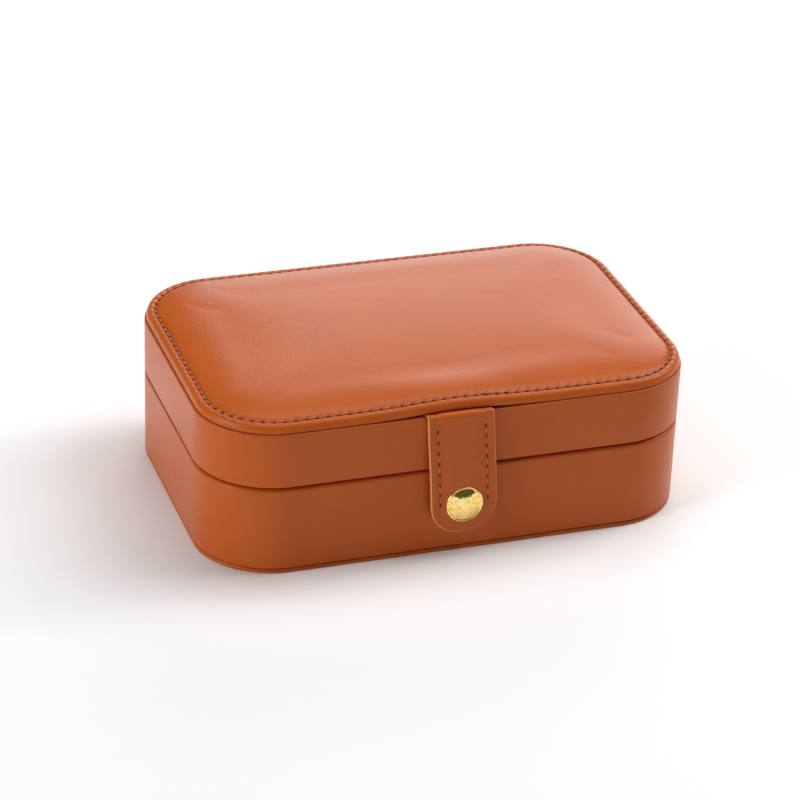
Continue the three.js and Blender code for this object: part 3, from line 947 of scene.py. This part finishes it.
        def draw_down(place: Vector, normal: Vector) -> Vector:
            """Settles the edge to its sewn curve and pulls it in at each needle hole."""
            across = CASE.depth(place) / MM - edge
            share = 1 - smoothstep(6.0, 22.0, across)
            part = max(0.0, (to_mm(place.z) - floor) / (blank(across) - floor))
            sewn = floor + min(part, 1.0) * (self.pad_height(across) - floor)
            near_edge = 1 - smoothstep(0.5, 4.0, across)
            pinch = self.pad_share * self.pucker / MM * (1 - self.pull(place)) * near_edge
            change = share * (sewn - to_mm(place.z)) - min(part, 1.0) * pinch
            return Vector((0, 0, change * MM + self.raised(place)))

        reshape(piece, draw_down)
        fix(piece, "lid", "lid_top_cover", "lid_foam_pad")

    def stitches(self, rim: bpy.types.Object) -> None:
        """The thread round the rim, with a short run sewn over twice where the seam closes, and
        dark dimples of painted shade at its needle holes.

        Args:
            rim: The rim that they are sewn through. Not used.
        """
        ridge = to_mm(node_box("lid_top_cover")[0].z) + self.ridge_rise
        top = ridge - self.stitch_depth
        up = Vector((0, 0, 1))
        seam, pitch = self.seam, self.stitch_pitch
        places, holes = [], []
        for index in range(round(seam.perimeter / pitch)):
            middle, out = seam.at((index + 0.5) * pitch)
            run = Vector((-out.y, out.x, 0))
            middle.z = top * MM + self.raised(middle)
            places.append((middle, run, up + out * 0.35))
            hole, out = seam.at(index * pitch)
            hole.z = (top - self.hole_depth) * MM + self.raised(hole)
            holes.append((hole - out * 0.1 * MM, Vector((-out.y, out.x, 0)), up))
        close = seam.along(Vector((self.closing_x, -CASE.half_width, 0)))
        for step in range(self.closing_stitches):
            middle, out = seam.at(close + (step + 0.9) * pitch * 0.8)
            middle.z = (top + 0.28) * MM + self.raised(middle)
            places.append((middle - out * 0.15 * MM, Vector((-out.y, out.x, 0.05)), up))
        sewn = as_object(self.thread.sew(places), "lid_rim_stitches", Finish.THREAD.material)
        # dark dimples at the needle holes: painted shade for the shadow inside each hole
        hole_shade = as_object(self.thread.put_hole_shade(holes), "lid_rim_hole_shade", Finish.HOLE.material)
        for piece in (fix(sewn, "lid"), fix(hole_shade, "lid"), rim):
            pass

    def lining(self) -> None:
        """Velvet round the inside of the lid, and the frame that holds the mirror."""
        low, high = node_box("lid_lining_walls")
        outer = to_mm(CASE.half_length - high.x)
        inner = outer + self.lining_card
        bottom, top = to_mm(low.z), to_mm(high.z)
        section = [Corner(outer, bottom, 0.25), Corner(outer, top), Corner(inner, top),
                   Corner(inner, bottom, 0.25)]
        lining = as_object(sweep(CASE, section), "lid_lining", Finish.VELVET.material)
        fix(lining, "lid", "lid_lining_walls")
        low, high = node_box("mirror_frame")
        frame_outline = Outline(high.x, high.y, self.frame_corner)
        bottom, top = to_mm(low.z), to_mm(high.z)
        section = [Corner(0, top), Corner(0, bottom, 1.4), Corner(9, bottom, 0.6),
                   Corner(9, bottom + 0.9, 0.15), Corner(5.7, bottom + 0.9), Corner(5.7, top)]
        # swept round the outer corners, so the window's corners come out tighter
        surround = as_object(sweep(frame_outline, section), "mirror_surround",
                             Finish.VELVET.material)
        fix(surround, "lid", "mirror_frame")

    def build(self) -> None:
        """Makes every piece that is fixed to the lid."""
        self.wall()
        rim = self.rim()
        self.pad()
        self.stitches(rim)
        self.lining()


def swell(piece: bpy.types.Object, is_held: Callable[[Vector], bool], pressure: float, frames: int,
          cap: float) -> None:
    """Swells a closed mesh with cloth under pressure, and keeps the result.

    Args:
        piece: The mesh, with no modifiers.
        is_held: Says which points stay where they are.
        pressure: The cloth's inner pressure.
        frames: How many frames to run.
        cap: The furthest that a point may move, in metres.
    """
    group = piece.vertex_groups.new(name="held")
    group.add([v.index for v in piece.data.vertices if is_held(v.co)], 1.0, "REPLACE")
    cloth = piece.modifiers.new("swell", "CLOTH")
    cloth.settings.vertex_group_mass = "held"
    cloth.settings.use_pressure = True
    cloth.settings.uniform_pressure_force = pressure
    cloth.settings.effector_weights.gravity = 0
    scene = bpy.context.scene
    cloth.point_cache.frame_start, cloth.point_cache.frame_end = 1, frames
    for step in range(1, frames + 1):
        scene.frame_set(step)
    moved = piece.evaluated_get(bpy.context.evaluated_depsgraph_get()).data
    targets = [v.co.copy() for v in moved.vertices]
    piece.modifiers.remove(cloth)
    piece.vertex_groups.clear()
    scene.frame_set(1)
    for vert, target in zip(piece.data.vertices, targets):
        step = target - vert.co
        vert.co += step * min(1.0, cap / max(step.length, 1e-9))
    piece.data.update()


# ---- hinge -----------------------------------------------------------------------------------


@dataclass
class HingeSpine:
    """The leather strip across the back that the lid turns on."""

    roll: float = 0.35
    stitch_inset: float = 2.5 * MM
    bend_reach: float = 3.0 * MM   # how far from the parting line the strip bends
    cut_reach: float = 3.9 * MM    # how far from it the strip is cut into narrow faces
    cuts: int = 14

    def build(self) -> None:
        """Makes the strip, cut into narrow faces about the parting line, and its two rows of
        stitches, one fixed to the base and one to the lid.
        """
        low, _ = node_box("hinge_leaf_base")
        _, high = node_box("hinge_leaf_lid")
        bm = block(low, high)
        round_off(bm, bm.edges[:], self.roll * MM, 3)
        parting = joint_point("lid_open").z
        for index in range(-self.cuts // 2, self.cuts // 2 + 1):
            level = parting + index * 2 * self.cut_reach / self.cuts
            cut_across(bm, Vector((0, 0, level)), Vector((0, 0, 1)))
        spine = as_object(bm, "hinge_spine", Finish.LEATHER.material)
        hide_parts("hinge_leaf_base", "hinge_leaf_lid")
        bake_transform(spine)
        thread = Thread()
        rows = (("base", low.z + self.stitch_inset), ("lid", high.z - self.stitch_inset))
        for body, level in rows:
            reach = high.x - self.stitch_inset
            count = int(2 * reach / thread.pitch)
            places = [(Vector((-reach + (i + 0.5) * 2 * reach / count, high.y + 0.08 * MM, level)),
                       Vector((1, 0, 0)), Vector((0, 1, 0))) for i in range(count)]
            row = as_object(thread.sew(places), f"hinge_stitches_{body}", Finish.THREAD.material)
            fix(row, body)
        LOG.info("base and lid: %s", spine.name)


# ---- strap and snap --------------------------------------------------------------------------


@dataclass(frozen=True)
class Bend:
    """A stretch of a strap's route: its length, and how far it turns upwards along it."""

    length: float
    turn: float = 0.0

    def travel(self, heading: float, part: float) -> tuple[float, float, float]:
        """Moves part of the way along.

        Args:
            heading: Angle above the way out of the case, at the start.
            part: Distance along, up to the length.

        Returns:
            Distance out, distance up and the heading there.
        """
        if abs(self.turn) < 1e-9:
            return part * math.cos(heading), part * math.sin(heading), heading
        radius = self.length / self.turn
        ahead = heading + part / radius
        return (radius * (math.sin(ahead) - math.sin(heading)),
                radius * (math.cos(heading) - math.cos(ahead)), ahead)


@dataclass
class Strap:
    """The strap: two stitched layers that come out from under the top panel and hang down."""

    lean: float = math.radians(3.36)
    end_round: float = 10.2 * MM
    skin: float = 0.95 * MM
    skived: float = 0.5             # share of its thickness left where it's turned in
    root_level: float = 50.75 * MM
    seam: float = 3.1 * MM          # stitch line, in from the edge
    puff: float = 0.30 * MM
    tuck: float = 1.4 * MM          # how much nearer the wall it starts than it hangs
    settle: float = 24 * MM         # how far down it reaches its full distance
    held: float = 7.3 * MM          # length held flat under the panel
    rise: float = 0.8 * MM          # length over which it starts to climb towards the bend
    lift: float = math.radians(34)  # slope at the end of that length
    edge_round: float = 0.46 * MM
    unsewn: float = 8 * MM          # length past the last stitch, at the round end
    needle_pull: float = 0.28 * MM  # depth of the waves that the thread pulls into the leather
    mesh_step: float = 0.6 * MM
    thread: Thread = Thread(pitch=3.7 * MM, gap=0.9 * MM, radius=0.22 * MM, slant=math.radians(5))

    def __post_init__(self) -> None:
        """Reads the strap's place from the frame, and lays out its route."""
        low, high = node_box("strap_tongue")
        self.half = (high.x - low.x) / 2
        self.root_x = (high.x + low.x) / 2
        self.front = node_box("strap_leather")[0].y
        self.back = node_box("strap_lining")[1].y
        self.bottom = node_box("strap_leather")[0].z
        self.joint = joint_point("strap_flex")
        over = self.lift + QUARTER   # turn of the bend, from that slope to straight down
        self.start_y = high.y - 6 * MM
        rise = Bend(self.rise, self.lift)
        out_of_rise = rise.travel(0.0, rise.length)[0]
        hang_y = self.front + self.tuck + self.skin / 2
        reach = self.start_y - hang_y - self.held - out_of_rise
        bend = reach / (math.sin(self.lift) + 1.0) * over
        self.route = (Bend(self.held), rise, Bend(bend, -over), Bend(200 * MM))
        self.turned_in = self.held + rise.length + bend

    @property
    def hang(self) -> float:
        """Length of the part that hangs, from the bend down to the end."""
        top = self.carry(0.0, self.turned_in, 0.0).z
        return (top - self.bottom) / math.cos(self.lean)

    def carry(self, across: float, along: float, out: float) -> Vector:
        """A point of the flat strap carried onto its route.

        Args:
            across: From the strap's middle line, towards +X.
            along: From the held end, down the strap.
            out: In front of the front layer's middle.

        Returns:
            The point in the row frame.
        """
        forward, up, heading, rest = 0.0, self.root_level, 0.0, along
        for stretch in self.route:
            part = min(rest, stretch.length)
            step_out, step_up, heading = stretch.travel(heading, part)
            forward, up, rest = forward + step_out, up + step_up, rest - part
            if rest <= 0:
                break
        full = smoothstep(self.turned_in - 3.5 * MM, self.turned_in, along)
        thin = self.skived + (1 - self.skived) * full
        forward -= math.sin(heading) * out * thin
        up += math.cos(heading) * out * thin
        down = max(0.0, along - self.turned_in)
        forward += self.tuck * smoothstep(0, self.settle, down)
        x = across * math.cos(self.lean) + down * math.sin(self.lean)
        z = up + down * (1 - math.cos(self.lean))
        z += across * math.sin(self.lean) * smoothstep(0, 10 * MM, down)
        return Vector((self.root_x + x, self.start_y - forward, z))

    def layer(self, name: str, first: float, low: float, high: float, inset: float,
              puffed: bool) -> bpy.types.Object:
        """One layer of the strap, with its painted edge.

        Args:
            name: The piece's name.
            first: Where along the route it starts.
            low: Its back face, in front of the front layer's middle.
            high: Its front face.
            inset: How far its edge stays inside the strap's.
            puffed: Whether it puffs up between the stitch lines.

        Returns:
            The layer, not yet fixed to a body.
        """
        half = self.half - inset
        total = self.turned_in + self.hang - inset - first
        radius = self.end_round - inset
        bm = bmesh.new()
        bmesh.ops.create_grid(bm, x_segments=1, y_segments=1, size=1.0)
        for vert in bm.verts:
            vert.co = Vector((vert.co.x * half, first + (1 + vert.co.y) / 2 * total, low))
        tips = [v for v in bm.verts if v.co.y > first + total / 2]
        round_off(bm, tips, radius, 18, "VERTICES")
        top = bmesh.ops.extrude_face_region(bm, geom=bm.faces[:])["geom"]
        bmesh.ops.translate(bm, verts=verts_of(top), vec=(0, 0, high - low))
        bmesh.ops.recalc_face_normals(bm, faces=bm.faces)
        rims = [e for e in bm.edges if e.calc_face_angle(0.0) > RIM_ANGLE
                and abs(e.verts[0].co.z - e.verts[1].co.z) < 0.01 * MM]
        round_off(bm, rims, self.edge_round, 5)
        bm.normal_update()
        for face in bm.faces:
            face.material_index = 1 if abs(face.normal.z) < 0.93 else 0
        for axis, start, length in ((0, -half, 2 * half), (1, first, total)):
            cuts = int(length / self.mesh_step)
            normal = Vector((1 - axis, axis, 0))
            for index in range(1, cuts):
                cut_across(bm, normal * (start + index * length / cuts), normal)
        line = self.half - self.seam
        for vert in bm.verts:
            if puffed and vert.co.z > (low + high) / 2:
                beside = abs(vert.co.x)
                up = 1 - smoothstep(line - 4.0 * MM, line - 0.3 * MM, beside)
                groove = math.exp(-(((beside - line) / (0.5 * MM)) ** 2))
                fade = smoothstep(first + total - 3 * MM, first + total - 12 * MM, vert.co.y)
                pull = noise.noise(Vector((vert.co.x / (1.6 * MM), vert.co.y / (2.2 * MM), 3.0)))
                near = math.exp(-(((beside - line) / (1.8 * MM)) ** 2))
                wave = self.needle_pull * pull * near
                vert.co.z += (self.puff * (up - 0.9 * groove) + wave) * fade
            vert.co = self.carry(vert.co.x, vert.co.y, vert.co.z)
        bmesh.ops.recalc_face_normals(bm, faces=bm.faces)
        piece = as_object(bm, name, Finish.LEATHER.material)
        piece.data.materials.append(Finish.CUT_EDGE.material)
        return piece

    def bend_with_lid(self, piece: bpy.types.Object) -> None:
        """Bakes the piece's placement into its mesh."""
        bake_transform(piece)

    def stitches(self) -> None:
        """The two rows of thread down the strap's sides, and dark dimples of painted shade at the
        needle holes between.
        """
        face = self.skin / 2 - 0.08 * MM
        first, last = self.turned_in + 0.4 * MM, self.turned_in + self.hang - self.unsewn
        count = int((last - first) / self.thread.pitch)
        places, holes = [], []
        for side in (-1, 1):
            across = side * (self.half - self.seam)
            for index in range(count):
                along = first + (index + 0.5) * self.thread.pitch
                middle, ahead = (self.carry(across, along + d, face) for d in (0.0, 0.5 * MM))
                places.append((middle, ahead - middle, Vector((0, -1, 0))))
                hole = self.carry(across, along + self.thread.pitch / 2, face)
                holes.append((hole, ahead - middle, Vector((0, -1, 0))))
        sewn = as_object(self.thread.sew(places), "strap_stitches", Finish.THREAD.material)
        # dark dimples at the needle holes: painted shade for the shadow inside each hole
        hole_shade = as_object(self.thread.put_hole_shade(holes), "strap_hole_shade", Finish.HOLE.material)
        for piece in (sewn, hole_shade):
            self.bend_with_lid(piece)

    def build(self) -> None:
        """Makes the strap and sews it."""
        half = self.skin / 2
        front = self.layer("strap_front", 0.0, -half, half, 0.0, True)
        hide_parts("strap_leather", "strap_tongue")
        self.bend_with_lid(front)
        rear = self.back - self.front - self.skin
        back = self.layer("strap_back", self.turned_in + 0.6 * MM, -half - rear, -half - 0.03 * MM,
                          0.2 * MM, False)
        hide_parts("strap_lining")
        self.bend_with_lid(back)
        self.stitches()
        LOG.info("strap: two layers and stitches")


@dataclass
class Snap:
    """The snap fastener: gilt cap on the strap, sprung socket behind it, stud on the base."""

    def __post_init__(self) -> None:
        """Reads the snap's place from the frame."""
        low, high = node_box("snap_cap")
        self.centre = Vector(((low.x + high.x) / 2, WALL_LOW.y, (low.z + high.z) / 2))
        self.radius = to_mm((high.x - low.x) / 2)

    def cap(self) -> None:
        """A thin rolled rim round a low dome, with a short post through the strap."""
        r = self.radius   # the profile runs from the dome's top, out and round the rim, to the post
        profile = [
            Corner(0, 5.2), Corner(1.0, 5.16, 0.45), Corner(2.0, 5.03, 0.45),
            Corner(3.0, 4.81, 0.45), Corner(4.0, 4.5, 0.45), Corner(5.0, 4.11, 0.3),
            Corner(5.6, 3.86, 0.06), Corner(5.72, 4.02, 0.08), Corner(6.0, 4.12, 0.1),
            Corner(r, 3.98, 0.12), Corner(r, 3.78, 0.08), Corner(r - 0.35, 3.7, 0.1),
            Corner(1.8, 3.7), Corner(1.8, 2.6), Corner(0, 2.6)]
        cap = as_object(turned(self.centre, profile, 96), "snap_cap_gilt",
                        Finish.GILT.material, 60)
        fix(cap, "strap", "snap_cap")

    def socket(self) -> None:
        """The socket's rolled ring and the wire spring inside it."""
        profile = [
            Corner(2.6, 0.9, 0.2), Corner(5.2, 0.9, 0.35), Corner(5.2, 2.5, 0.2), Corner(2.6, 2.5),
            Corner(2.6, 2.2), Corner(3.7, 2.2), Corner(3.7, 1.3), Corner(2.6, 1.3)]
        ring = as_object(turned(self.centre, profile, 64, closed=True), "snap_socket_ring",
                         Finish.BRASS.material)
        fix(ring, "strap", "snap_socket")
        wire = [Corner(2.77, 1.47, 0.26), Corner(3.33, 1.47, 0.26), Corner(3.33, 2.03, 0.26),
                Corner(2.77, 2.03, 0.26)]
        spring = as_object(turned(self.centre, wire, 64, closed=True), "snap_spring_wire",
                           Finish.SPRING.material, 80)
        fix(spring, "strap", "snap_spring")

    def stud(self) -> None:
        """The stud on the base wall: flange, neck and a rounded head."""
        profile = [
            Corner(0, 2.3), Corner(1.5, 2.3, 0.3), Corner(2.2, 1.9, 0.25), Corner(2.2, 1.5, 0.15),
            Corner(1.8, 1.2, 0.15), Corner(1.8, 0.75, 0.2), Corner(4.5, 0.6, 0.12),
            Corner(4.5, 0.05), Corner(0, 0.05)]
        stud = as_object(turned(self.centre, profile, 64), "snap_stud_head",
                         Finish.BRASS.material)
        fix(stud, "base", "snap_stud")

    def build(self) -> None:
        """Makes the four pieces of the snap."""
        self.cap()
        self.socket()
        self.stud()


# ---- carried-over CAD nodes ------------------------------------------------------------------


KEPT_NODES = {
    "base_floor_board": Finish.BOARD, "base_wall_board": Finish.BOARD,
    "lid_top_board": Finish.BOARD, "lid_wall_board": Finish.BOARD,
    "mirror_backing": Finish.BOARD, "base_liner_floor": Finish.VELVET,
    "lid_lining_panel": Finish.VELVET, "mirror_glass": Finish.GLASS,
    "snap_stud_rivet": Finish.BRASS,
}


def dress_kept_nodes() -> None:
    """Gives each CAD node that stays in view its real finish."""
    for node, look in KEPT_NODES.items():
        piece = frame["nodes"][node]
        for slot in piece.material_slots:
            slot.material = look.material
        LOG.info("kept: %s", node)


# ---- studio ----------------------------------------------------------------------------------


@dataclass
class Studio:
    """Camera, pale floor and soft lights."""

    azimuth: float = math.radians(-19.27)
    elevation: float = math.radians(27.95)
    roll: float = math.radians(2.22)
    distance: float = 1.0275
    target: tuple[float, float, float] = (-0.0029, 0.0, 0.02665)
    lens: float = 137.24
    sensor: float = 36.0
    half_floor: float = 3.0
    ambient: float = 0.085
    paper_cloud_mm: float = 333.0

    def camera(self) -> None:
        """A long-lens camera a little above and to the left of the front."""
        a, e = self.azimuth, self.elevation
        back = Vector((math.sin(a) * math.cos(e), -math.cos(a) * math.cos(e), math.sin(e)))
        right = Vector((math.cos(a), math.sin(a), 0))
        up = back.cross(right)
        rolled_right = right * math.cos(self.roll) + up * math.sin(self.roll)
        rolled_up = up * math.cos(self.roll) - right * math.sin(self.roll)
        data = bpy.data.cameras.new("camera")
        data.lens, data.sensor_width = self.lens, self.sensor
        data.clip_start, data.clip_end = 0.05, 20
        eye = bpy.data.objects.new("camera", data)
        turn = Matrix((rolled_right, rolled_up, back)).transposed().to_4x4()
        eye.matrix_world = Matrix.Translation(Vector(self.target) + back * self.distance) @ turn
        bpy.context.scene.collection.objects.link(eye)
        bpy.context.scene.camera = eye

    def light(self, name: str, place: Sequence[float], size: tuple[float, float], watts: float,
              aim: Sequence[float] = (0, 0, 0.03)) -> None:
        """A soft rectangular light that looks at a point.

        Args:
            name: The light's name.
            place: Where it stands.
            size: Its two sides.
            watts: Its power.
            aim: What it points at.
        """
        data = bpy.data.lights.new(name, "AREA")
        data.shape, data.size, data.size_y = "RECTANGLE", *size
        data.energy = watts
        lamp = bpy.data.objects.new(name, data)
        lamp.location = place
        lamp.rotation_mode = "QUATERNION"
        lamp.rotation_quaternion = (Vector(place) - Vector(aim)).to_track_quat("Z", "Y")
        bpy.context.scene.collection.objects.link(lamp)

    def floor(self) -> None:
        """A wide pale floor just under the case."""
        bm = bmesh.new()
        bmesh.ops.create_grid(bm, x_segments=4, y_segments=4, size=self.half_floor)
        material = new_material("matt_white_paper")
        # a plain pale ground that takes a soft shadow and throws a little light back up
        place = add_node(material, "TexCoord").outputs["Object"]
        cloud = add_node(material, "TexNoise", Vector=place, Scale=1 / (self.paper_cloud_mm * MM))
        colour = add_node(material, "Mix", {"data_type": "RGBA"}, in_0=cloud.outputs["Fac"],
                          in_6=linear("#FAFAFA"), in_7=linear("#FCFCFC"))
        finish_material(material, Base_Color=colour.outputs[2], Roughness=0.9)
        ground = as_object(bm, "studio_floor", material)

    def build(self) -> None:
        """Sets the whole stage."""
        self.camera()
        self.floor()
        world = bpy.data.worlds.new("studio_world")
        world.use_nodes = True
        glow = world.node_tree.nodes["Background"]
        glow.inputs["Color"].default_value = linear("#FFFFFF")
        glow.inputs["Strength"].default_value = self.ambient
        bpy.context.scene.world = world
        # the broad sheen on the padded top
        self.light("back_panel", (0.98, 1.84, 0.70), (1.35, 1.35), 14)
        # the pale end wall at the left
        self.light("left_low", (-1.75, -0.35, 0.45), (0.8, 0.8), 16)
        # the bright edge round the right-hand corner
        self.light("right_spark", (1.7, 0.1, 1.0), (0.35, 0.35), 6)
        # the even tone of the front wall
        self.light("right_high", (1.3, 0.1, 1.7), (1.2, 1.4), 24)
        # the glints along the left-hand rim
        self.light("left_spark", (-0.9, -0.35, 1.6), (0.25, 0.25), 2.0)
        # a soft shadow close round the case
        self.light("overhead", (0.0, 0.5, 2.2), (1.4, 1.4), 17)
        bpy.context.scene.view_settings.view_transform = "Standard"


def main() -> None:
    """Builds the case piece by piece, then the studio."""
    logging.basicConfig(level=logging.INFO, format="%(message)s")
    Base().build()
    RingRolls().build()
    velvet_bar("divider_long", "divider_long", "long_divider_card")
    velvet_bar("divider_short", "divider_short", "short_divider_card")
    Lid().build()
    HingeSpine().build()
    Strap().build()
    Snap().build()
    dress_kept_nodes()
    Studio().build()


if __name__ == "__main__":
    main()
